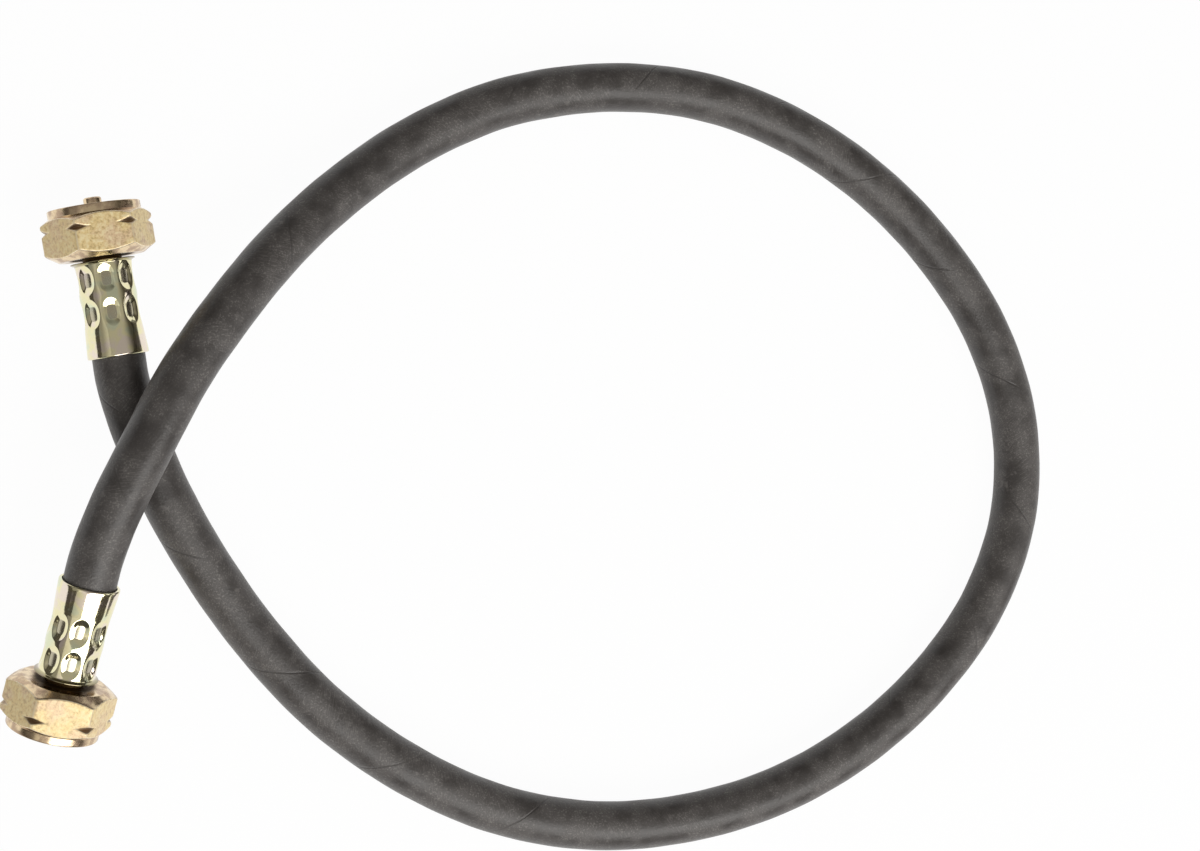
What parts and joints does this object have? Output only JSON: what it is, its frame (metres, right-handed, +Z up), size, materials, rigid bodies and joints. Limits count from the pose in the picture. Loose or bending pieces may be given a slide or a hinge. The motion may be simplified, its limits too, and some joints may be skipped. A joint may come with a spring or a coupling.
{
  "type": "gas hose",
  "caption": "Black rubber gas hose lying in one loop that crosses itself, with a crimped steel ferrule and a swivelling hexagonal brass union nut at each end.",
  "frame": {"origin": "on the surface that the hose lies on, under the middle of the two end fittings together", "axes": "+Z up from that surface; +Y from the lower fitting towards the upper one, the longest extent of the two fittings together; +X from the fittings towards the loop of the hose"},
  "size_m": [0.3649, 0.2658, 0.0401],
  "materials": {
    "hose_rubber": "matte black rubber with a fine grain",
    "ferrule_steel": "bright zinc plate, passivated yellow",
    "nut_brass": "forged brass, grainy and matte",
    "nipple_brass": "turned brass, satin",
    "seal_rubber": "matte black rubber"
  },
  "bodies": {
    "hose_line": {"hose": "hose_rubber", "upper_ferrule": "ferrule_steel", "upper_nipple": "nipple_brass", "upper_seal_ring": "seal_rubber", "lower_ferrule": "ferrule_steel", "lower_nipple": "nipple_brass", "lower_seal_ring": "seal_rubber"},
    "upper_nut": {"upper_union_nut": "nut_brass"},
    "lower_nut": {"lower_union_nut": "nut_brass"}
  },
  "joints": [
    {"name": "upper_nut_turn", "type": "hinge", "parent": "hose_line", "child": "upper_nut", "pos_m": [0.00612, 0.07184, 0.015], "axis": [-0.165, 0.9863, 0], "continuous": true},
    {"name": "lower_nut_turn", "type": "hinge", "parent": "hose_line", "child": "lower_nut", "pos_m": [-0.00577, -0.07076, 0.01602], "axis": [-0.2126, -0.9509, -0.225], "continuous": true}
  ]
}
